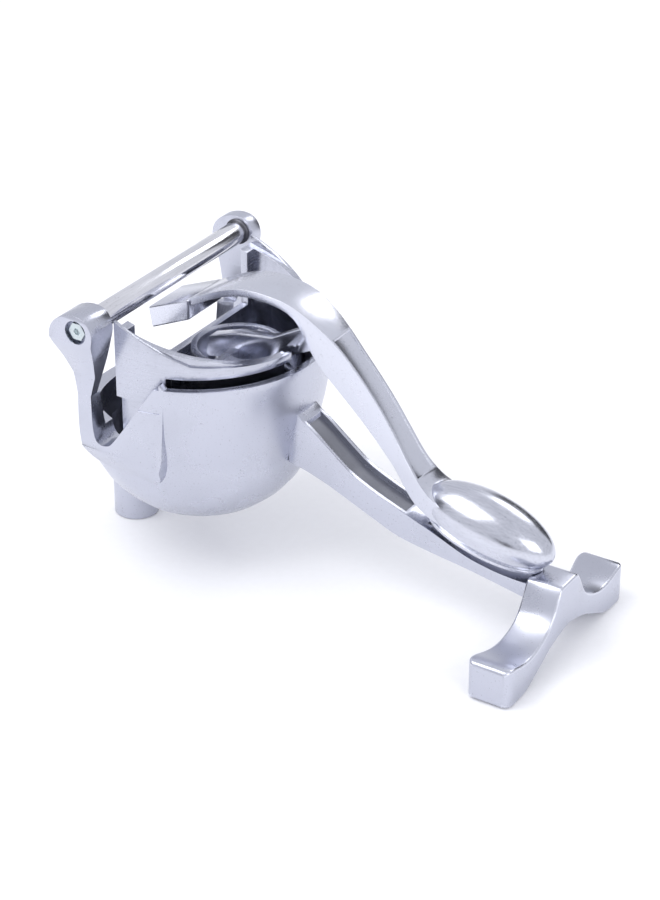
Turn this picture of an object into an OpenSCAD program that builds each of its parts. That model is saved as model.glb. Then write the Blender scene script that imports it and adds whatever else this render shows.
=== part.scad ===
// Hand juice press: a cast bowl on a fork foot, a loose strainer cup inside it,
// and a long lever whose heel bears up under a cross bar between two ears.
// Millimetres. +Z is up, +X runs from the cross bar to the fork foot, the
// origin is the middle of the footprint at the level the press stands on.

/* [Overall] */
// Reach from the cross bar to the front of the fork foot
reach = 192.5; // [150:0.5:260]
// Height of the cross bar above the ground
bar_h = 120; // [95:1:160]
// Length of the cross bar between the ears
bar_span = 100; // [96:1:140]
// Span of the fork over its two feet
foot_span = 99; // [70:1:130]

/* [Bowl] */
// Outside radius of the bowl at its rim
rim_r = 55; // [45:0.5:70]
// Wall thickness of the casting
wall = 3.2; // [2:0.1:5]
// Height of the rim, as a share of the bar height
rim_part = 0.81; // [0.7:0.01:0.86]
// Underside of the bowl above the ground
belly_z = 16.5; // [8:0.5:30]
// Radius of the drain spout
spout_r = 9.8; // [6:0.1:14]
// Radius of the drain bore
spout_bore = 6.6; // [3:0.1:10]

/* [Cross bar] */
// Outside radius of the roller tube
tube_r = 4.9; // [4:0.1:8]
// Radius of the long bolt that the tube turns on
bolt_r = 2.5; // [2:0.1:4]
// Thickness of the ear that holds the bolt head
near_ear = 14.4; // [9:0.2:20]
// Thickness of the ear that the bolt screws into
far_ear = 6; // [5:0.2:14]

/* [Strainer cup] */
// Wall thickness of the cup
cup_wall = 3.4; // [2:0.1:5]
// Thickness of the perforated floor
floor_t = 2.6; // [1.5:0.1:5]
// Radius of one drain hole
hole_r = 1.6; // [0.8:0.1:3]
// Spacing of the drain holes
hole_pitch = 8.5; // [5:0.5:14]

/* [Lever] */
// Width of the strap over the cup
strap_w = 21; // [12:0.5:30]
// Width of the arm
arm_w = 12.4; // [8:0.2:18]
// Thickness of the strap
strap_t = 3.2; // [2:0.1:5]
// Width of the lower handle
grip_w = 14.4; // [10:0.2:22]
// Radius of the pressing dish, as a share of the bore of the cup
dish_part = 0.459; // [0.35:0.001:0.47]
// Half length of the palm pad
pad_half = 31; // [24:0.5:40]
// Radius of the palm pad
pad_r = 13.4; // [9:0.2:18]

/* [Hidden] */
$fn = 96;
kz = bar_h / 120;       // stretch of the tall parts with the bar height
over = 1;               // overshoot of cutting shapes
cup_back = tube_r + 3.1;              // flat back of the cup, clear of the tube
bowl_x = cup_back + rim_r * 7 / 55;   // bowl axis in front of the bar
spout_x = bowl_x - rim_r * 37 / 55;   // spout axis behind the bar
front = bowl_x + rim_r;               // front of the bowl rim
rim_z = rim_part * bar_h;
belt_z = rim_z - 39 * kz;             // widest level of the round underside
belt_r = rim_r - 6;                   // outside radius there
belly_h = belt_z - belly_z;
deep_h = belly_h - wall - 1;          // depth of the bore under the belt
ledge_z = belt_z + 12 * kz;           // ledge that carries the cup
ledge_r = belt_r - 4.4;               // bore below the ledge
vee_z = belt_z + 6 * kz;              // bottom of the side openings
vee_tip = bowl_x + 16;                // front of the side openings
ear_z = vee_z + 22;                   // where the ears leave the webs
ear_in = bar_span / 2 + 0.4;          // inner face of the ears
near_out = ear_in + near_ear;         // outer face on the bolt head side
far_out = ear_in + far_ear;           // outer face on the other side
side_y = (near_out - far_out) / 2;    // middle plane, off the box centre
spout_top = belt_z - 9;
vee_part = (rim_z - vee_z) / (rim_z - belt_z);
rear_r = rim_r - (rim_r - belt_r) * vee_part * vee_part; // low rear rim
rear = max(rear_r - bowl_x, spout_r - spout_x);
bar_x = -(reach - rear) / 2;          // centres the footprint
cup_r = rim_r - wall - 1.8;           // cup outside above the rim
cup_mid = ledge_r + 2;                // cup outside between ledge and collar
cup_mid_in = cup_mid - 3;
cup_low = ledge_r - 0.8;              // cup outside below the ledge
cup_in = cup_r - cup_wall - 1;        // bore of the cup at its lip
cup_base = ledge_z - 8;               // underside of the cup wall
step_z = ledge_z + 17 * kz;           // side plates start here
collar_z = rim_z + 3 * kz;            // collar of the cup starts here
lip_z = bar_h - 2.7;                  // inner lip height at the flat back
lip_fall = 0.27 * kz;                 // fall of the inner lip to the front
edge_t = 1.7;                         // outer shell with its own top line
heel_w = 24.6;                        // width of the heel under the bar
heel_slot = 2 * cup_r - 19;           // gap in the back wall for the heel
rib_t = 6;                            // pressing rib thickness
rib_slot = 13;                        // gap in the front lip for the rib
washer_t = 0.8;
washer_r = tube_r + 0.8;
end_gap = 0.15;                       // end float at each washer face
run_gap = 0.06;                       // running clearance of the tube
slip = 0.03;                          // clearance round the bolt shank
sink_r = bolt_r + 2.6;                // counterbore round the bolt head
sink_d = 3.6;
head_r = bolt_r + 1.6;                // over the corners of the hexagon
head_t = 2.6;
arm_root = fx(74.5);                 // where the strap meets the deep arm
dish_r = dish_part * cup_mid_in;
dish_x = bowl_x + cup_mid_in - 4.2 - dish_r;
dish_z = rim_z - 0.7;
dish_t = 2.6;
dish_h = 15.5;                        // depth of the dish dome
pad_x = fx(155.5);
pad_z = 48.7 * kz;
pad_tilt = 13.5;
pad_flat = pad_r - 0.9;               // flat underside below the pad axis
groove_d = 2;                         // channel along the lower handle
groove_w = grip_w - 4;
fork_t = 16;                          // fork thickness along the handle
fork_top = 34 * kz;
foot_t = 17;                          // height of the flared feet
foot_d = 19.5;                        // depth of the feet along the handle
half = foot_span / 2;
ky = half / 49.5;

// Smooth curve through a few control points
function mix(a, b, c, d, t) = 0.5 * (2 * b + (c - a) * t
  + (2 * a - 5 * b + 4 * c - d) * t * t + (3 * b - a - 3 * c + d) * t * t * t);
function flow(p, n = 4) = let (m = len(p) - 1) [
  for (i = [0 : m - 1], j = [0 : n - 1])
    mix(p[max(i - 1, 0)], p[i], p[i + 1], p[min(i + 2, m)], j / n), p[m]];
// Distances up to the bowl rim stretch with the rim, the rest with the reach
function fx(x) = x < 70 ? x * front / 70
  : front + (x - 70) * (reach - front) / 122.5;
function fit(p) = [for (q = p) [fx(q[0]), q[1] * kz]];
function lip(x) = lip_z - lip_fall * (x - cup_back);

// Side profile spread between two Y planes
module slab(p, y0, y1)
  translate([0, y1, 0]) rotate([90, 0, 0]) linear_extrude(y1 - y0) polygon(p);
// Front profile spread between two X planes
module rail(p, x0, x1)
  translate([x0, 0, 0]) rotate([90, 0, 90]) linear_extrude(x1 - x0) polygon(p);
module both() { children(); mirror([0, 1, 0]) children(); }
module here() translate([bar_x, side_y, 0]) children();
// Runs along +Y on the bar axis from the given Y
module across(y) translate([0, y, bar_h]) rotate([-90, 0, 0]) children();
// Round front and flat back in plan
module plan(r, x0) intersection() {
  union() {
    translate([bowl_x, 0]) circle(r);
    translate([x0, -r]) square([bowl_x - x0, 2 * r]);
  }
  translate([x0, -r - over]) square([3 * r, 2 * r + 2 * over]);
}
module block(r, x0, z0, z1)
  translate([0, 0, z0]) linear_extrude(z1 - z0) plan(r, x0);

// ---- cast body -------------------------------------------------------
flare = [for (i = [0 : 6]) let (t = 1 - i / 6)
  [rim_r - (rim_r - belt_r) * t * t, belt_z + (rim_z - belt_z) * i / 6]];
belly = [for (a = [0 : 10 : 80])
  [belt_r * sin(a), belt_z - belly_h * cos(a)]];
hollow = [for (a = [0 : 10 : 90])
  [ledge_r * sin(a), belt_z - deep_h * cos(a)]];

module bowl_outer() translate([bowl_x, 0, 0]) rotate_extrude()
  polygon(concat(belly, flare, [[0, rim_z]]));

module bowl_bore() translate([bowl_x, 0, 0]) rotate_extrude()
  polygon(concat(hollow, [[ledge_r, ledge_z]],
    [[flare[2][0] - wall, ledge_z]], [for (i = [3 : 6]) flare[i] - [wall, 0]],
    [[rim_r - wall, bar_h], [0, bar_h]]));

// Side web that carries the ear and frames the vee
module web() intersection() {
  slab(concat(flow([[-8.2, ear_z], [-8.2, vee_z + 4], [-5, vee_z - 8],
    [4, vee_z - 13], [15, vee_z - 16], [27, vee_z - 13], [vee_tip, vee_z]]),
    [[vee_tip + 2, rim_z], [vee_tip, rim_z + 2], [vee_tip, ear_z]]),
    -rim_r - over, 0);
  rail([[-rim_r, rim_z + 3], [-rim_r, vee_z - 2], [-belt_r + 4, vee_z - 19],
    [-10, vee_z - 19], [-10, rim_z + 3]], -10, vee_tip + 4);
  block(rim_r - 0.2, -10, 0, bar_h);
}

module vee() slab(concat(flow([[-1.6, ear_z], [-1.4, vee_z + 8],
  [0.4, vee_z + 1.6], [5, vee_z + 0.8], [10.5, vee_z + 6],
  [vee_tip - 1, rim_z + 1.5]]), [[vee_tip, bar_h], [-1.6, bar_h]]),
  -rim_r - over, -10);

module spout_rod(r, h) translate([spout_x, 0, 0]) cylinder(r = r, h = h);

module bowl() color("Silver") here() difference() {
  union() {
    bowl_outer();
    both() web();
  }
  bowl_bore();
  both() vee();
  // low rear rim between the ears
  translate([-2 * rim_r, -rim_r - over, vee_z])
    cube([2 * rim_r - 8.4, 2 * rim_r + 2 * over, bar_h]);
  translate([-12, -rim_r - over, ear_z])
    cube([12, 2 * rim_r + 2 * over, bar_h]);
  // pockets beside the square back of the cup
  translate([cup_back - 0.8, -cup_r - 0.5, step_z - 0.8])
    cube([bowl_x - cup_back + 0.8, 2 * cup_r + 1, bar_h]);
  spout_rod(spout_r, spout_top);
}

ear_side = concat(flow([[-8.2, ear_z], [-8.8, bar_h - 26], [-10.4, bar_h - 15],
  [-13.2, bar_h - 6.5], [-12.6, bar_h], [-8.2, bar_h + 4.8],
  [-1, bar_h + 6.9], [5, bar_h + 5.4], [7.9, bar_h - 0.4],
  [6.4, bar_h - 8.5], [3.4, bar_h - 19], [-1.6, ear_z]]));
module ear(out, taper) intersection() {
  slab(ear_side, -out - over, -10);
  rail([[-rim_r + 4.4, ear_z], [-rim_r + 4.4, bar_h - 24],
    [-ear_in, bar_h - 16], [-ear_in, bar_h + 12], [-out + taper / 4, bar_h + 12],
    [-out, bar_h + 5], [-out, bar_h - 5], [-out + taper, bar_h - 15],
    [-rim_r - taper / 6, bar_h - 24], [-rim_r + 0.2, ear_z]], -20, 20);
}

module side_ears() color("Silver") here() difference() {
  union() {
    ear(near_out, 4.8);
    mirror([0, 1, 0]) ear(far_out, 0.6);
  }
  across(-near_out - over) cylinder(r = bolt_r + slip, h = 2 * near_out);
  across(-near_out - over) cylinder(r = sink_r, h = sink_d + over);
}

module drain_spout() color("Silver") here() difference() {
  spout_rod(spout_r, spout_top);
  bowl_bore();
  translate([0, 0, -over]) spout_rod(spout_bore, bar_h);
}

grip_top = flow(fit([[60, 80], [66, 76], [76.4, 69.5], [88.8, 59.8],
  [95, 55.4], [106, 50.4], [117, 46.4], [133.6, 40.4], [148, 34.8],
  [160, 32.2], [170, 31.3]]));
module grip_body() slab(concat(grip_top,
  [[reach - fork_t, 31.3 * kz], [reach - fork_t, 24.2 * kz]],
  flow(fit([[166, 26.2], [146, 29.4], [117.4, 33.6], [88.3, 45.2],
  [74.4, 50.2], [60, 52.6]]))), -grip_w / 2, grip_w / 2);

module lower_handle() color("Silver") here() difference() {
  grip_body();
  bowl_outer();
  slab(concat([for (q = grip_top) if (q[0] < fx(128)) q - [0, groove_d]],
    [[fx(128), bar_h], [fx(60), bar_h]]), -groove_w / 2, groove_w / 2);
}

module fork_foot() color("Silver") here() both() intersection() {
  rail(concat([[0, fork_top]], flow([[6.5 * ky, fork_top],
    [9.5 * ky, fork_top - 4], [12 * ky, fork_top - 9],
    [15.5 * ky, fork_top - 13.5], [21 * ky, foot_t + 0.6], [29 * ky, foot_t - 2.4],
    [38 * ky, foot_t - 1.9], [half - 6, foot_t - 0.2]]),
    [[half - 2.6, foot_t], [half - 0.4, foot_t - 2.4], [half, foot_t - 6],
    [half, 2.2], [half - 2.2, 0], [half - 12, 0]],
    flow([[half - 17, 1], [25 * ky, 4.8], [14 * ky, 10.2], [0, 13.4]])),
    reach - 2 * fork_t, reach);
  translate([0, 0, -over]) linear_extrude(bar_h) polygon(concat([[reach, 0],
    [reach - fork_t, 0]], flow([[reach - fork_t, 10], [reach - fork_t, 20 * ky],
    [reach - 17.4, 31 * ky], [reach - foot_d, half - 7]]),
    [[reach - foot_d + 0.4, half - 2.4], [reach - foot_d + 2.8, half + over],
    [reach - 2.8, half + over], [reach - 0.4, half - 2.4], [reach, half - 7]]));
}

// ---- strainer cup ----------------------------------------------------
lip_line = [[cup_back - over, lip(cup_back - over)],
  [bowl_x + rim_r, lip(bowl_x + rim_r)]];
edge_line = [[cup_back - over, bar_h + 1.4], [bowl_x + 25, bar_h - 14 * kz],
  [bowl_x + rim_r, bar_h - 16.8 * kz]];
// Everything above a falling line
module above(line) slab(concat(line, [[bowl_x + rim_r, 2 * bar_h],
  [cup_back - over, 2 * bar_h]]), -rim_r, rim_r);
module cup_core() block(cup_r - edge_t, cup_back - over, step_z, 2 * bar_h);

module strainer_wall() color("Gainsboro") here() difference() {
  union() {
    block(cup_low, cup_back, cup_base, ledge_z + over);
    block(cup_mid, cup_back, ledge_z, collar_z + over);
    block(cup_r, cup_back, collar_z, bar_h + 2);
    intersection() {
      block(cup_r, cup_back, step_z, collar_z + over);
      translate([0, -rim_r, 0]) cube([vee_tip, 2 * rim_r, bar_h]);
    }
  }
  block(cup_low - 3, cup_back + cup_wall, cup_base - over, bar_h + 3);
  block(cup_mid_in, cup_back + cup_wall, ledge_z + 3, bar_h + 3);
  block(cup_in, cup_back + cup_wall, collar_z + 2, bar_h + 3);
  intersection() {
    above(lip_line);
    cup_core();
  }
  difference() {
    above(edge_line);
    cup_core();
  }
  // back gap for the lever heel
  translate([cup_back - over, -heel_slot / 2, bar_h - 28 * kz])
    cube([cup_wall + 2 * over, heel_slot, bar_h]);
  // front gap for the pressing rib
  translate([bowl_x + cup_mid_in - 4, -rib_slot / 2, rim_z - 8.7])
    cube([cup_wall + 14, rib_slot, bar_h]);
}

module strainer_floor() color("Gainsboro") here() difference() {
  block(cup_low, cup_back, cup_base - floor_t, cup_base);
  for (i = [-5 : 5], j = [-5 : 5])
    let (x = (i + (abs(j) % 2) / 2) * hole_pitch, y = j * hole_pitch * 0.866)
      if (norm([x, y]) < cup_low - 3 - hole_r - 2
        && bowl_x + x > cup_back + cup_wall + hole_r + 1.5)
        translate([bowl_x + x, y, cup_base - floor_t - over])
          cylinder(r = hole_r, h = floor_t + 2 * over, $fn = 24);
}

// ---- cross bar -------------------------------------------------------
module axle_bolt() color("LightSlateGray") here() difference() {
  union() {
    across(-near_out + sink_d)
      cylinder(r = bolt_r, h = near_out - sink_d + far_out - 0.5);
    across(-near_out + sink_d - head_t) cylinder(r = head_r, h = head_t, $fn = 6);
  }
  across(-near_out + sink_d - head_t - over)
    cylinder(r = bolt_r * 0.62, h = 1.3 + over, $fn = 6);
}

module washers() color("DimGray") here() both() difference() {
  across(-ear_in) cylinder(r = washer_r, h = washer_t);
  across(-ear_in - over) cylinder(r = bolt_r + slip, h = washer_t + 2 * over);
}

module roller_tube() color("WhiteSmoke") here() difference() {
  across(-ear_in + washer_t + end_gap)
    cylinder(r = tube_r, h = 2 * (ear_in - washer_t - end_gap));
  across(-ear_in) cylinder(r = bolt_r + run_gap, h = 2 * ear_in);
}

// ---- lever -----------------------------------------------------------
module pad_solid() translate([pad_x, 0, pad_z]) rotate([0, pad_tilt, 0])
  difference() {
    rotate([0, 90, 0]) rotate_extrude() polygon([for (a = [0 : 7.5 : 180])
      [pad_r * pow(sin(a), 1.2), -pad_half * cos(a)]]);
    translate([-pad_half - over, -pad_r - over, -2 * pad_r])
      cube([2 * pad_half + 2 * over, 2 * pad_r + 2 * over,
        2 * pad_r - pad_flat]);
  }

heel_end = fx(18);                   // where the strap leaves the heel
module lever_heel() color("Silver") here() intersection() {
  slab([[-2.7, bar_h - 10.9], [heel_end, bar_h - 2.4],
    [heel_end, bar_h - 11.6], [-1, bar_h - 20.1]], -heel_w / 2, heel_w / 2);
  block(rim_r, -5, 0, bar_h);
}

arm_top = flow([[heel_end, bar_h - 2.4], fit([[25, 121.3]])[0],
  fit([[33, 125]])[0], fit([[41, 127.6]])[0], fit([[50, 128.6]])[0],
  fit([[60, 127.7]])[0], fit([[68, 125.5]])[0], fit([[76, 121.2]])[0],
  fit([[82, 116.6]])[0], fit([[88, 110.6]])[0], fit([[94, 104.2]])[0],
  fit([[100, 97.4]])[0], fit([[107, 88.6]])[0], fit([[114, 78.5]])[0],
  fit([[122, 66.5]])[0], fit([[132, 57.6]])[0], fit([[138, 55]])[0]], 3);
arm_low = flow(fit([[138, 47.5], [128, 48.5], [121, 54.2], [112.5, 66.4],
  [103, 76.8], [93, 86.6], [83, 96.8], [74.5, 106.2]]), 3);
strap_low = concat([for (i = [len(arm_top) - 1 : -1 : 0])
  if (arm_top[i][0] < arm_root - 1.5 && arm_top[i][0] > heel_end + 1)
    arm_top[i] - [0, strap_t]], [[heel_end, bar_h - 2.4 - strap_t]]);
half_w = flow([[-2, heel_w / 2], [heel_end, strap_w / 2 + 0.6],
  [fx(45), strap_w / 2], [fx(64), strap_w / 2 - 0.6],
  [fx(78), arm_w / 2 + 2.2], [fx(92), arm_w / 2], [fx(114), arm_w / 2],
  [fx(124), arm_w / 2 + 1.2], [fx(140), arm_w / 2 + 5]]);

module lever_arm() color("Silver") here() difference() {
  intersection() {
    slab(concat(arm_top, arm_low,
      [[arm_root, 117.8 * kz]], strap_low), -heel_w, heel_w);
    linear_extrude(2 * bar_h) polygon(concat(half_w,
      [for (i = [len(half_w) - 1 : -1 : 0]) [half_w[i][0], -half_w[i][1]]]));
  }
  pad_solid();
}

module palm_pad() color("WhiteSmoke") here() pad_solid();

module dish_solid() translate([dish_x, 0, dish_z]) difference() {
  rotate_extrude() polygon(concat(
    [for (a = [0 : 9 : 90]) [dish_r * sin(a), -dish_t - (dish_h - dish_t)
      * cos(a)]], [[dish_r, 0], [dish_r - dish_t, 0]],
    [for (a = [81 : -9 : 0]) [(dish_r - dish_t) * sin(a),
      -(dish_h - dish_t) * cos(a)]]));
}

module press_dish() color("Gainsboro") here() union() {
  dish_solid();
  intersection() {
    translate([dish_x - 1.6, -dish_r, dish_z - dish_h + 1])
      cube([3.2, 2 * dish_r, dish_h - 1.6]);
    translate([dish_x, 0, dish_z - dish_h])
      cylinder(r1 = dish_r * 0.55, r2 = dish_r - 0.6, h = dish_h);
  }
}

module press_rib() color("Silver") here() difference() {
  slab([[dish_x - 0.75 * dish_r, dish_z - 8], [dish_x - 0.65 * dish_r, dish_z + 1.5],
    [dish_x, dish_z + 6], [dish_x + 0.9 * dish_r, dish_z + 8.6],
    [arm_root, 117.4 * kz], [arm_root, 106.2 * kz],
    [bowl_x + cup_r, rim_z + 4.6], [dish_x + dish_r - 1, dish_z - 2]],
    -rib_t / 2, rib_t / 2);
  press_cut();
}
// Room taken by the dish and everything below it
module press_cut() union() {
  dish_solid();
  translate([dish_x - 1.6, -dish_r, dish_z - dish_h])
    cube([3.2, 2 * dish_r, dish_h - 0.6]);
}

bowl();
side_ears();
drain_spout();
lower_handle();
fork_foot();
strainer_wall();
strainer_floor();
axle_bolt();
washers();
roller_tube();
lever_heel();
lever_arm();
palm_pad();
press_dish();
press_rib();
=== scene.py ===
"""Look of a cast aluminium hand juice press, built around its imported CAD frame.

Each piece is made by its own operator, listed on a panel in the 3D view's sidebar.
Positions are metres in the frame: +X towards the fork foot, +Y along the cross bar, +Z up.
"""

import math

import bpy
from bpy.props import FloatProperty, FloatVectorProperty, IntProperty, PointerProperty
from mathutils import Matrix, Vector


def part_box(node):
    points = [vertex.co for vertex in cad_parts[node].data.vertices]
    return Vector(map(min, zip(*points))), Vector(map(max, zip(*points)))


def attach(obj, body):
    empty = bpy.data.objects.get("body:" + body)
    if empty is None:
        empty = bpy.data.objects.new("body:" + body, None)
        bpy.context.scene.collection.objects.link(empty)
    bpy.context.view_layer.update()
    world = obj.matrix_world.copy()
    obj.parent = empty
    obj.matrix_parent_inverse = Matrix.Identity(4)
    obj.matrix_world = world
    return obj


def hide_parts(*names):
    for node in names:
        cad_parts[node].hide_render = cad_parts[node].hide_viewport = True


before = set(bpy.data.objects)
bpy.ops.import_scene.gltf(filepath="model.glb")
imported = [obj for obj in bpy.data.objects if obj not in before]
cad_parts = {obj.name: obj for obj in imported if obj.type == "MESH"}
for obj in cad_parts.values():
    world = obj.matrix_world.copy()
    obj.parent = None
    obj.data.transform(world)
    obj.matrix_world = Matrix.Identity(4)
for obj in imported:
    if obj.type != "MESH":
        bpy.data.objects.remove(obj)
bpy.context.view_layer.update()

bl_info = {
    "name": "Hand Juice Press",
    "version": (1, 0, 0),
    "blender": (4, 5, 0),
    "location": "3D View > Sidebar > Juice Press",
    "description": "Finishes and detail pieces for a cast hand juice press",
    "category": "Object",
}

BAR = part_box("roller_tube")
BAR_X = (BAR[0].x + BAR[1].x) / 2
MID_Y = (BAR[0].y + BAR[1].y) / 2

SMOOTH = math.radians(32)  # faces that meet flatter than this are shaded as one
EDGE = math.radians(38)  # edges sharper than this are rounded
FLAT = math.radians(0.4)  # faces that meet flatter than this are merged
WELD_GAP = 0.000005
ROUND_STEPS = 3


# ---------------------------------------------------------------- shader maths
class Sig:
    """A value in a shader: arithmetic on it adds Math nodes."""

    def __init__(self, tree, out):
        self.tree, self.out = tree, out

    def _math(self, kind, *values):
        return Sig(self.tree, make(self.tree, "ShaderNodeMath",
                                   dict(enumerate(values)), operation=kind).outputs[0])

    def __add__(self, other):
        return self._math("ADD", self, other)

    __radd__ = __add__

    def __sub__(self, other):
        return self._math("SUBTRACT", self, other)

    def __rsub__(self, other):
        return self._math("SUBTRACT", other, self)

    def __mul__(self, other):
        return self._math("MULTIPLY", self, other)

    __rmul__ = __mul__

    def fit(self, low, high, to_low=0.0, to_high=1.0):
        """Maps low..high smoothly to to_low..to_high."""
        n = make(self.tree, "ShaderNodeMapRange", {
            "Value": self, "From Min": low, "From Max": high,
            "To Min": to_low, "To Max": to_high}, interpolation_type="SMOOTHSTEP")
        return Sig(self.tree, n.outputs["Result"])

    def blend(self, a, b):
        """Colour a where this is 0 and colour b where it is 1."""
        n = make(self.tree, "ShaderNodeMix", {}, data_type="RGBA")
        for i, v in ((0, self), (6, a), (7, b)):
            put(self.tree, n.inputs[i], v)
        return Sig(self.tree, n.outputs[2])


def put(tree, socket, value):
    """Links a Sig to a socket, or sets a plain value on it."""
    if isinstance(value, Sig):
        tree.links.new(value.out, socket)
    else:
        socket.default_value = value


def make(tree, kind, inputs, **props):
    """Adds one node with its properties and inputs."""
    n = tree.nodes.new(kind)
    for key, value in props.items():
        setattr(n, key, value)
    for key, value in inputs.items():
        put(tree, n.inputs[key], value)
    return n


def noise(tree, where, scale, detail=4.0, rough=0.55):
    """Fractal noise in 0..1 at a number of features per metre."""
    n = make(tree, "ShaderNodeTexNoise",
             {"Vector": where, "Scale": scale, "Detail": detail, "Roughness": rough})
    return Sig(tree, n.outputs[0])


def open_material(name):
    """A new empty material, with its node tree and its Object coordinates."""
    mat = bpy.data.materials.new(name)
    mat.use_nodes = True
    tree = mat.node_tree
    tree.nodes.clear()
    where = make(tree, "ShaderNodeTexCoord", {}).outputs["Object"]
    return mat, tree, Sig(tree, where)


def close_material(tree, height, sockets):
    """Ends a material in one Principled shader, with a bump of the given height."""
    out = make(tree, "ShaderNodeOutputMaterial", {})
    bump = Sig(tree, make(tree, "ShaderNodeBump", {
        "Strength": 1.0, "Distance": 1.0, "Height": height}).outputs[0])
    bsdf = make(tree, "ShaderNodeBsdfPrincipled", {**sockets, "Normal": bump})
    tree.links.new(bsdf.outputs[0], out.inputs[0])


# Features per metre: cloudy patches, cast waves, tooth, grain and pores.
CLOUD, WAVE, TOOTH, SPECK, PORE = 26.0, 70.0, 300.0, 900.0, 1500.0
PORE_STAIN = (0.16, 0.16, 0.18, 1.0)


def metal(name, tone, dull, lustre, grain=0.0, streak=None, streak_bump=0.0, pits=0.0,
          waves=0.0):
    """A cast, brushed or polished metal: tone, roughness range, grain and brushing.

    Streak holds the brushing marks per metre along each axis. Heights are in metres.
    """
    mat, tree, where = open_material(name)
    cloud = noise(tree, where, CLOUD, 3.0)
    speck = noise(tree, where, SPECK, 5.0, 0.65)
    pore = noise(tree, where, PORE, 2.0, 0.5)
    pitting = pore.fit(0.66, 0.74)
    height = speck * grain + pitting * (-pits)
    if waves:
        height = height + noise(tree, where, WAVE, 2.0, 0.4) * waves
    rough = cloud.fit(0.3, 0.7, lustre, dull) + (speck - 0.5) * 0.06
    shade = cloud.fit(0.25, 0.75, 0.93, 1.0)
    if streak:
        brushed = make(tree, "ShaderNodeMapping", {"Vector": where, "Scale": streak})
        lines = noise(tree, Sig(tree, brushed.outputs[0]), 1.0, 5.0, 0.7)
        rough = rough + (lines - 0.5) * 0.16
        height = height + lines * streak_bump
        shade = shade * lines.fit(0.3, 0.62, 0.94, 1.0)
    dark = tuple(c * 0.80 for c in tone) + (1.0,)
    colour = shade.fit(0.84, 1.0).blend(dark, tuple(tone) + (1.0,))
    close_material(tree, height, {
        "Base Color": (pitting * 0.5).blend(colour, PORE_STAIN),
        "Metallic": 1.0, "Roughness": rough.fit(0.0, 1.0)})
    return mat


def plain(name, tone, rough, grain=0.0, glow=0.0):
    """A matt surface with a little tooth, for the floor and studio cards."""
    mat, tree, where = open_material(name)
    tooth = noise(tree, where, TOOTH, 4.0)
    colour = tooth.fit(0.3, 0.7).blend(tuple(c * 0.985 for c in tone) + (1.0,),
                                       tuple(tone) + (1.0,))
    close_material(tree, tooth * grain, {
        "Base Color": colour, "Roughness": rough,
        "Emission Color": colour, "Emission Strength": glow})
    return mat


# ------------------------------------------------------------------- modelling
def only(obj):
    """Makes obj the only selected and active object."""
    bpy.ops.object.select_all(action="DESELECT")
    obj.select_set(True)
    bpy.context.view_layer.objects.active = obj


def rounded(obj, width, angle=EDGE, slot=1):
    """Rounds the sharp edges of obj and gives the rounding its material slot."""
    only(obj)
    mod = obj.modifiers.new("Round", "BEVEL")
    mod.width, mod.segments, mod.angle_limit = width, ROUND_STEPS, angle
    mod.limit_method = "ANGLE"
    mod.miter_outer = "MITER_ARC"
    # Slot 1 holds the polished metal, painted lighter on the rounded edges as a highlight along
    # them.
    mod.material = slot
    bpy.ops.object.modifier_apply(modifier=mod.name)


def dress(name, body, replaced):
    """Names and shades the active piece, and fixes it to its body in place of a CAD node."""
    obj = bpy.context.active_object
    obj.name = name
    obj.data.name = name
    bpy.ops.object.mode_set(mode="EDIT")
    bpy.ops.mesh.select_all(action="SELECT")
    bpy.ops.mesh.normals_make_consistent(inside=False)
    bpy.ops.object.mode_set(mode="OBJECT")
    bpy.ops.object.shade_smooth_by_angle(angle=SMOOTH)
    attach(obj, body)
    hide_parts(replaced)


def flow(points, steps):
    """Smooth run of values through control points (any number of columns)."""
    rows = []
    last = len(points) - 1
    for i in range(last):
        a, b = points[max(i - 1, 0)], points[i]
        c, d = points[i + 1], points[min(i + 2, last)]
        for k in range(steps):
            t = k / steps
            rows.append([0.5 * (2 * q + (r - p) * t + (2 * p - 5 * q + 4 * r - s) * t * t
                                + (3 * q - p - 3 * r + s) * t ** 3)
                         for p, q, r, s in zip(a, b, c, d)])
    rows.append(list(points[last]))
    return rows


def strip(rows, start=(BAR_X, MID_Y)):
    """Closed bar of upright sections along X, in millimetres from the start.

    Each row is the distance along, top, bottom, width, and offset of the middle sideways.
    It begins as a square millimetre, so each size in millimetres is a scale.
    """
    bpy.ops.object.select_all(action="DESELECT")
    cuts = [((start[0] + row[0] / 1000, start[1] + (row[4] if len(row) > 4 else 0) / 1000,
              (row[1] + row[2]) / 2000), row[1] - row[2], row[3]) for row in rows]
    first, high, wide = cuts[0]
    bpy.ops.mesh.primitive_plane_add(size=0.001, location=(0, 0, 0))
    bpy.ops.object.mode_set(mode="EDIT")
    bpy.ops.mesh.select_all(action="SELECT")
    bpy.ops.transform.rotate(value=math.pi / 2, orient_axis="Y", orient_type="GLOBAL",
                             center_override=(0, 0, 0))
    bpy.ops.transform.resize(value=(1, wide, high), center_override=(0, 0, 0))
    bpy.ops.transform.translate(value=first)
    for here, tall, broad in cuts[1:]:
        bpy.ops.mesh.extrude_region_move(TRANSFORM_OT_translate={
            "value": tuple(b - a for a, b in zip(first, here))})
        bpy.ops.transform.resize(value=(1, broad / wide, tall / high), center_override=here)
        first, high, wide = here, tall, broad
    bpy.ops.mesh.select_all(action="SELECT")
    bpy.ops.mesh.normals_make_consistent(inside=False)
    bpy.ops.object.mode_set(mode="OBJECT")
    return bpy.context.active_object


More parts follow.
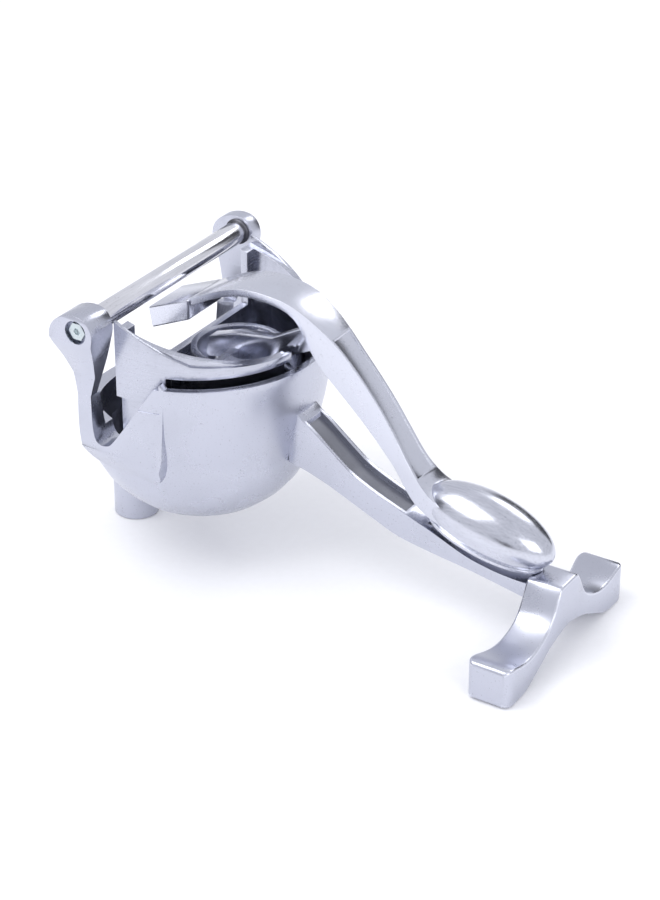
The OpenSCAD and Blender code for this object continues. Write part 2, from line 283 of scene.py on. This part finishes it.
def sink(obj, x0, x1, margin, depth, slot=0):
    """Sinks a channel into the top faces of a strip between two distances from the bar (mm)."""
    only(obj)
    for face in obj.data.polygons:
        x = (face.center.x - BAR_X) * 1000
        face.select = (face.normal.z > 0.25 and abs(face.normal.y) < 0.3 and x0 < x < x1
                       and abs(face.center.y - MID_Y) < 0.001)
    for edge in obj.data.edges:
        edge.select = False
    for vert in obj.data.vertices:
        vert.select = False
    bpy.ops.object.mode_set(mode="EDIT")
    bpy.ops.mesh.select_mode(type="FACE")
    bpy.ops.mesh.inset(thickness=margin, use_even_offset=True, use_boundary=True)
    bpy.ops.mesh.extrude_region_move(TRANSFORM_OT_translate={"value": (0, 0, -depth)})
    bpy.ops.object.mode_set(mode="OBJECT")
    sunk = [face for face in obj.data.polygons if face.select]
    if not sunk:
        raise RuntimeError("no faces to sink")
    for face in sunk:
        face.material_index = slot


# -------------------------------------------------------------------- settings
class PressFinish(bpy.types.PropertyGroup):
    """Finish of the metal."""
    cast_tone: FloatVectorProperty(name="Cast tone", subtype="COLOR", size=3,
                                   description="Colour of the cast aluminium",
                                   default=(0.57, 0.585, 0.665))
    cast_dull: FloatProperty(name="Cast roughness", default=0.40, min=0.1, max=0.8,
                             description="Roughness of the dullest cast faces")
    cast_grain: FloatProperty(name="Cast grain", default=0.000014, min=0, max=0.0002,
                              unit="LENGTH", description="Height of the cast grain")
    polish: FloatProperty(name="Polish", default=0.30, min=0.02, max=0.5,
                          description="Roughness of the polished faces")
    edge: FloatProperty(name="Edge round", default=0.0007, min=0.0001, max=0.003,
                        unit="LENGTH", description="Radius of the tumbled edges")


class PressShape(bpy.types.PropertyGroup):
    """Sizes of the pieces modelled here."""
    pad_length: FloatProperty(name="Pad length", default=0.060, min=0.04, max=0.08,
                              unit="LENGTH", description="Length of the palm pad")
    pad_width: FloatProperty(name="Pad width", default=0.0272, min=0.02, max=0.04,
                             unit="LENGTH", description="Width of the palm pad")
    pad_dome: FloatProperty(name="Pad dome", default=0.0128, min=0.005, max=0.02,
                            unit="LENGTH", description="Height of the dome above its axis")
    channel: FloatProperty(name="Channel depth", default=0.0024, min=0.0005, max=0.005,
                           unit="LENGTH", description="Depth of the lower handle's channel")
    path_steps: IntProperty(name="Path steps", default=4, min=2, max=8,
                            description="Sections between two control points of a bar")


class PressStage(bpy.types.PropertyGroup):
    """Studio round the press."""
    key: FloatProperty(name="Key light", default=8.0, min=0, max=80,
                       description="Power of the large top light in watts")
    fill: FloatProperty(name="Fill light", default=3.0, min=0, max=80,
                        description="Power of the side light in watts")
    floor_glow: FloatProperty(name="Floor glow", default=0.06, min=0, max=4,
                              description="Light given off by the floor, like a lit table")
    sky: FloatProperty(name="Room light", default=0.84, min=0, max=3,
                       description="Strength of the even light all round")
    lens: FloatProperty(name="Lens", default=105.2, min=20, max=300,
                        description="Focal length of the camera in millimetres")


def settings():
    """The finish, shape and stage settings."""
    scene = bpy.context.scene
    return scene.press_finish, scene.press_shape, scene.press_stage


def cast():
    """The plain cast metal of the body and the dish."""
    f = settings()[0]
    return bpy.data.materials.get("cast_aluminium") or metal(
        "cast_aluminium", f.cast_tone, f.cast_dull, f.cast_dull - 0.1,
        grain=f.cast_grain, pits=0.000008, waves=0.00006)


def polish_and_edge_highlight():
    """The polished metal of the palm pad, lighter than the cast metal. On rounded edges it is
    partly real polish and partly a painted highlight for the bright lines light draws along
    them.
    """
    f = settings()[0]
    return bpy.data.materials.get("polished_aluminium_and_painted_edge_highlight") or metal(
        "polished_aluminium_and_painted_edge_highlight", tuple(min(c + 0.12, 1) for c in f.cast_tone),
        f.polish + 0.08, f.polish, grain=0.000002, streak=(60, 1400, 900),
        streak_bump=0.000004)


def lit_lever_cast():
    """The cast metal painted lighter and made a little smoother for the lever: a painted lift
    standing in for the lever's brighter look in the light.
    """
    f = settings()[0]
    return bpy.data.materials.get("lever_cast_painted_lighter") or metal(
        "lever_cast_painted_lighter", tuple(min(c + 0.12, 1) for c in f.cast_tone),
        f.cast_dull - 0.04, f.cast_dull - 0.14, grain=f.cast_grain * 0.6, pits=0.000006,
        waves=0.00004)


def channel_shade():
    """The rough metal at the bottom of the lower handle's channels, painted dark as the shade
    that falls in the deep channels.
    """
    f = settings()[0]
    return bpy.data.materials.get("channel_casting_painted_shade") or metal(
        "channel_casting_painted_shade", tuple(c * 0.42 for c in f.cast_tone), 0.58, 0.42,
        grain=f.cast_grain * 3, pits=0.00003, waves=0.00004)


def two_tone(obj, body):
    """Gives obj its body metal, the polished metal painted lighter as a highlight for rounded
    edges, and the rough metal painted dark as shade for sunken faces.
    """
    obj.data.materials.clear()
    for mat in (body, polish_and_edge_highlight(), channel_shade()):
        obj.data.materials.append(mat)


# ---------------------------------------------------------------------- pieces
# Radius of each CAD piece's edges, as a multiple of the edge setting.
ROUNDING = {"bowl": 1.0, "side_ears": 1.6, "strainer_wall": 0.9, "drain_spout": 1.0,
            "lever_heel": 1.2, "press_rib": 1.0, "press_dish": 0.8, "roller_tube": 0.5,
            "axle_bolt": 0.4}
ARM_ROUND, GRIP_ROUND, FORK_ROUND = 1.3, 0.9, 1.5

# The dome is cut this share of its height below its axis. Under the cut each step drops
# by so many metres and then widens by two factors, along and across.
PAD_CUT = 0.5
PAD_RIM = ((0.0003, 1.035, 1.07), (0.0012, 1, 1), (0.0022, 0.84, 0.74))
PAD_TILT = math.radians(-13.5)
PAD_SHIFT = Vector((-0.0005, 0, -0.0006))
PAD_EDGE, PAD_EDGE_ANGLE = 0.0005, 0.6

# Sections along each bar: x from the cross bar, top, bottom and width, in millimetres.
ARM = (
    (17.4, 117.3, 114.1, 22.4), (25, 121.3, 118.1, 21.8), (33, 125.0, 121.8, 21.4),
    (41, 127.6, 124.4, 21.1), (50, 128.55, 125.3, 20.8), (60, 127.7, 124.2, 20.0),
    (66, 126.3, 121.8, 19.2), (70, 124.8, 117.6, 18.4), (74, 122.4, 109.6, 17.4),
    (79, 118.9, 101.6, 16.0), (85, 113.8, 94.9, 14.2), (92, 106.5, 87.6, 12.7),
    (100, 97.4, 79.8, 12.4), (107, 88.6, 72.4, 12.4), (114, 78.5, 64.3, 12.6),
    (122, 66.5, 53.4, 14.0), (130, 58.8, 48.7, 17.0), (138, 55.4, 46.9, 20.4),
)
GRIP = (
    (63.3, 60.0, 52.8, 14.4), (65.3, 76.2, 52.3, 14.4), (71, 73.2, 51.2, 14.4),
    (76.4, 69.5, 49.6, 14.4), (82.6, 64.6, 47.5, 14.4), (88.8, 59.8, 45.0, 14.4),
    (95, 55.4, 42.4, 14.4), (106, 50.4, 37.9, 14.4), (117, 46.4, 33.8, 14.4),
    (133.6, 40.4, 31.0, 14.4), (148, 34.8, 29.1, 14.4), (160, 32.2, 27.1, 14.4),
    (170, 31.3, 25.4, 14.6), (177.2, 31.3, 24.2, 15.0),
)

# Channels: from and to, in millimetres from the cross bar, and the rim left round it in metres.
ARM_CHANNEL, ARM_CHANNEL_DEPTH = (84, 126, 0.0015), 0.0007
GRIP_CHANNELS = ((70, 122, 0.0019), (127, 146, 0.0036))

# Half of the fork: y from the middle, top, bottom and depth along the handle. The front of
# it is flat up to the toe, which is rounded about a middle line that stays behind the front.
FORK = (
    (0, 34, 13.4, 16), (4, 34, 12.9, 16), (6.6, 33.7, 12.2, 16), (8.2, 32.0, 11.9, 16),
    (10, 29, 11.4, 16), (12.4, 24.4, 10.7, 16), (15.5, 20.6, 9.6, 16), (20, 17.8, 7.3, 16.1),
    (25, 15.7, 4.8, 16.6), (29, 14.8, 2.8, 17.1), (33, 14.6, 0.9, 17.8),
    (38, 15.3, 0.05, 18.7), (42.5, 16.5, 0.02, 19.4), (45.5, 17, 0.02, 19.4),
    (47.4, 17, 0.1, 18.2), (48.7, 16.5, 0.5, 16.2), (49.4, 15.2, 1.4, 13.0),
)
TOE, TOE_MIDDLE = 46, 9.7


class PRESS_OT_finish_frame(bpy.types.Operator):
    """Gives every piece of the CAD frame its metal, and rounds the edges of the pieces in
    ROUNDING with the polished metal, painted lighter there as a highlight
    """
    bl_idname = "press.finish_frame"
    bl_label = "Finish the cast pieces"

    def execute(self, context):
        finish = settings()[0]
        cup = metal("cup_aluminium", tuple(c * 0.98 for c in finish.cast_tone),
                    finish.cast_dull - 0.04, finish.cast_dull - 0.16, grain=0.00001,
                    streak=(120, 120, 1600), streak_bump=0.000003)
        tube = metal("bright_tube", (0.84, 0.84, 0.88), 0.30, 0.22, grain=0.000002,
                     streak=(2200, 60, 2200), streak_bump=0.000002)
        zinc = metal("zinc_plate", (0.58, 0.64, 0.66), 0.34, 0.24, grain=0.00001)
        dark = metal("dark_washer", (0.16, 0.16, 0.18), 0.5, 0.4, grain=0.00001)
        # The lever heel and rib take the lever's cast metal, painted lighter as a lift of
        # light.
        finishes = {"strainer_wall": cup, "strainer_floor": cup, "roller_tube": tube,
                    "axle_bolt": zinc, "washers": dark, "lever_heel": lit_lever_cast(),
                    "press_rib": lit_lever_cast()}
        for name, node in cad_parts.items():
            node.data.materials.clear()
            node.data.materials.append(finishes.get(name, cast()))
            node.data.materials.append(polish_and_edge_highlight() if name != "roller_tube" else tube)
            only(node)
            bpy.ops.object.shade_smooth_by_angle(angle=SMOOTH)
            weld = node.modifiers.new("Weld", "WELD")
            weld.merge_threshold = WELD_GAP
            if name in ROUNDING:
                flat = node.modifiers.new("Flat faces", "DECIMATE")
                flat.decimate_type = "DISSOLVE"
                flat.angle_limit = FLAT
                edge = node.modifiers.new("Edges", "BEVEL")
                edge.width = finish.edge * ROUNDING[name]
                edge.segments = ROUND_STEPS
                edge.limit_method = "ANGLE"
                edge.angle_limit = EDGE
                edge.harden_normals = True
                # Slot 1 on the rounded edges is the polished metal, painted lighter there as a
                # highlight.
                edge.material = 1 if name != "axle_bolt" else 0
        return {"FINISHED"}


class PRESS_OT_palm_pad(bpy.types.Operator):
    """Models the polished palm pad: a plump drawn-out dome on a thin rim"""
    bl_idname = "press.palm_pad"
    bl_label = "Palm pad"

    def execute(self, context):
        shape = settings()[1]
        lo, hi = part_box("palm_pad")
        seat = (lo + hi) / 2 + PAD_SHIFT
        bpy.ops.object.select_all(action="DESELECT")
        bpy.ops.mesh.primitive_uv_sphere_add(segments=96, ring_count=48, radius=1,
                                             location=(0, 0, 0))
        obj = bpy.context.active_object
        bpy.ops.object.mode_set(mode="EDIT")
        bpy.ops.mesh.select_all(action="SELECT")
        bpy.ops.transform.rotate(value=math.pi / 2, orient_axis="Y",
                                 center_override=(0, 0, 0))
        bpy.ops.transform.resize(value=(shape.pad_length / 2, shape.pad_width / 2,
                                        shape.pad_dome), center_override=(0, 0, 0))
        bpy.ops.mesh.bisect(plane_co=(0, 0, -shape.pad_dome * PAD_CUT), plane_no=(0, 0, 1),
                            use_fill=True, clear_inner=True, clear_outer=False)
        bpy.ops.mesh.select_mode(type="FACE")
        for drop, along, across in PAD_RIM:
            bpy.ops.mesh.extrude_region_move(
                TRANSFORM_OT_translate={"value": (0, 0, -drop)})
            bpy.ops.transform.resize(value=(along, across, 1), center_override=(0, 0, 0))
        bpy.ops.mesh.select_all(action="SELECT")
        bpy.ops.transform.rotate(value=PAD_TILT, orient_axis="Y", orient_type="GLOBAL",
                                 center_override=(0, 0, 0))
        bpy.ops.transform.translate(value=(seat.x, MID_Y, seat.z))
        bpy.ops.object.mode_set(mode="OBJECT")
        obj.data.materials.append(polish_and_edge_highlight())
        rounded(obj, PAD_EDGE, angle=PAD_EDGE_ANGLE, slot=-1)
        dress("palm_pad_dome", "lever", "palm_pad")
        return {"FINISHED"}


class PRESS_OT_lever_arm(bpy.types.Operator):
    """Models the strap over the cup running on into the deep arm with its raised rims"""
    bl_idname = "press.lever_arm"
    bl_label = "Lever arm"

    def execute(self, context):
        finish, shape, _ = settings()
        obj = strip(flow(ARM, shape.path_steps))
        # The arm takes the lever's cast metal, painted lighter as a lift of light.
        two_tone(obj, lit_lever_cast())
        sink(obj, *ARM_CHANNEL, ARM_CHANNEL_DEPTH)
        rounded(obj, finish.edge * ARM_ROUND)
        dress("lever_arm_cast", "lever", "lever_arm")
        return {"FINISHED"}


class PRESS_OT_lower_handle(bpy.types.Operator):
    """Models the lower handle with the channel along its top and a slot at its end, their
    floors painted dark as shade
    """
    bl_idname = "press.lower_handle"
    bl_label = "Lower handle"

    def execute(self, context):
        finish, shape, _ = settings()
        obj = strip(flow(GRIP, shape.path_steps))
        two_tone(obj, cast())
        for channel in GRIP_CHANNELS:
            # The channel floors take slot 2, the rough metal painted dark as shade.
            sink(obj, *channel, shape.channel, slot=2)
        rounded(obj, finish.edge * GRIP_ROUND)
        dress("lower_handle_cast", "body", "lower_handle")
        return {"FINISHED"}


class PRESS_OT_fork_foot(bpy.types.Operator):
    """Models the forked foot: one arched bar across, flaring into two rounded feet"""
    bl_idname = "press.fork_foot"
    bl_label = "Fork foot"

    def execute(self, context):
        finish, shape, _ = settings()
        half = [(y, top, low, deep, deep / 2 if y < TOE else TOE_MIDDLE)
                for y, top, low, deep in FORK]
        rows = [(-row[0],) + row[1:] for row in reversed(half[1:])] + half
        obj = strip(flow(rows, shape.path_steps - 1), start=(0, 0))
        two_tone(obj, cast())
        only(obj)
        bpy.ops.object.mode_set(mode="EDIT")
        bpy.ops.mesh.select_all(action="SELECT")
        bpy.ops.transform.rotate(value=math.pi / 2, orient_axis="Z", orient_type="GLOBAL",
                                 center_override=(0, 0, 0))
        bpy.ops.object.mode_set(mode="OBJECT")
        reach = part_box("fork_foot")[1].x
        front = max(v.co.x for v in obj.data.vertices)
        bpy.ops.object.mode_set(mode="EDIT")
        bpy.ops.mesh.select_all(action="SELECT")
        # The way rotate turns depends on whether there is a window, so the side is checked.
        if front > 0.001:
            bpy.ops.transform.rotate(value=math.pi, orient_axis="Z", orient_type="GLOBAL",
                                     center_override=(0, 0, 0))
        bpy.ops.transform.translate(value=(reach, MID_Y, 0))
        bpy.ops.object.mode_set(mode="OBJECT")
        rounded(obj, finish.edge * FORK_ROUND)
        dress("fork_foot_cast", "body", "fork_foot")
        return {"FINISHED"}


# Black cards seen only in reflections: name, place, turn and size.
CARDS = (
    ("card_left", (-0.75, -0.35, 0.30), (0, math.radians(80), math.radians(20)), 0.5),
    ("card_back", (0.15, 0.95, 0.30), (math.radians(82), 0, 0), 0.7),
    ("card_front", (0.35, -1.7, 0.10), (math.radians(-80), 0, 0), 0.5),
)
CARD_TONE, FLOOR_TONE = (0.02, 0.02, 0.025), (0.93, 0.93, 0.94)
FLOOR_SIZE, FLOOR_DROP = 8, 0.0004
ROOM_TONE = (0.92, 0.935, 1.0, 1)
RIM_SHARE = 0.8  # power of the light behind, as a share of the side light
LIGHT_AIM = Vector((0, 0, 0.06))

# Camera: its place from the middle of the cross bar, its height, turn and sensor width.
CAMERA_X, CAMERA_Y, CAMERA_HEIGHT = 0.5872, -0.79987, 0.59145
CAMERA_TURN = (math.radians(90 - 29.3), 0, math.radians(32.43))
SENSOR = 36


class PRESS_OT_stage(bpy.types.Operator):
    """Sets the pale floor, the studio cards and lights, and the camera"""
    bl_idname = "press.stage"
    bl_label = "Studio"

    def execute(self, context):
        stage = settings()[2]
        bpy.ops.object.select_all(action="DESELECT")
        bpy.ops.mesh.primitive_plane_add(size=FLOOR_SIZE, location=(0, 0, -FLOOR_DROP))
        floor = bpy.context.active_object
        floor.name = "studio_floor"
        floor.data.materials.append(plain("pale_floor", FLOOR_TONE, 0.7, grain=0.00002,
                                          glow=stage.floor_glow))
        black = plain("dark_card", CARD_TONE, 0.9)
        for name, where, turn, size in CARDS:
            bpy.ops.mesh.primitive_plane_add(size=size, location=where, rotation=turn)
            card = bpy.context.active_object
            card.name = name
            card.data.materials.append(black)
            card.visible_camera = False
            card.visible_shadow = False
            card.visible_diffuse = False
        lamps = (
            ("key", stage.key, 0.9, (-0.45, -0.55, 1.15)),
            ("fill", stage.fill, 0.7, (1.05, -0.55, 0.65)),
            ("rim", stage.fill * RIM_SHARE, 0.5, (0.1, 1.1, 0.9)),
        )
        for name, power, size, where in lamps:
            bpy.ops.object.light_add(type="AREA", location=where)
            lamp = bpy.context.active_object
            lamp.name = name
            lamp.data.energy = power
            lamp.data.size = size
            aim = LIGHT_AIM - Vector(where)
            lamp.rotation_euler = aim.to_track_quat("-Z", "Y").to_euler()
        world = bpy.data.worlds.new("studio")
        context.scene.world = world
        context.scene.view_settings.view_transform = "Standard"
        world.use_nodes = True
        back = world.node_tree.nodes["Background"]
        back.inputs[0].default_value = ROOM_TONE
        back.inputs[1].default_value = stage.sky
        bpy.ops.object.camera_add(location=(BAR_X + CAMERA_X, MID_Y + CAMERA_Y,
                                            CAMERA_HEIGHT))
        camera = bpy.context.active_object
        camera.name = "view"
        camera.rotation_euler = CAMERA_TURN
        camera.data.sensor_width = SENSOR
        camera.data.lens = stage.lens
        context.scene.camera = camera
        return {"FINISHED"}


class PRESS_PT_panel(bpy.types.Panel):
    """Builds the press a piece at a time"""
    bl_label = "Juice Press"
    bl_idname = "PRESS_PT_panel"
    bl_space_type = "VIEW_3D"
    bl_region_type = "UI"
    bl_category = "Juice Press"

    def draw(self, context):
        for group in settings():
            box = self.layout.box()
            for name in group.__annotations__:
                box.prop(group, name)
        for step in STEPS:
            self.layout.operator(step.bl_idname)


GROUPS = (("press_finish", PressFinish), ("press_shape", PressShape),
          ("press_stage", PressStage))
STEPS = (PRESS_OT_finish_frame, PRESS_OT_palm_pad, PRESS_OT_lever_arm,
         PRESS_OT_lower_handle, PRESS_OT_fork_foot, PRESS_OT_stage)


def register():
    """Adds the settings, operators and panel."""
    for name, group in GROUPS:
        bpy.utils.register_class(group)
        setattr(bpy.types.Scene, name, PointerProperty(type=group))
    for cls in STEPS + (PRESS_PT_panel,):
        bpy.utils.register_class(cls)


def unregister():
    """Takes them away again."""
    for cls in (PRESS_PT_panel,) + STEPS:
        bpy.utils.unregister_class(cls)
    for name, group in GROUPS:
        delattr(bpy.types.Scene, name)
        bpy.utils.unregister_class(group)


def main():
    """Builds every piece in order."""
    register()
    for step in STEPS:
        family, name = step.bl_idname.split(".")
        result = getattr(getattr(bpy.ops, family), name)()
        if result != {"FINISHED"}:
            raise RuntimeError(f"{step.bl_label} did not finish")


if __name__ == "__main__":
    main()
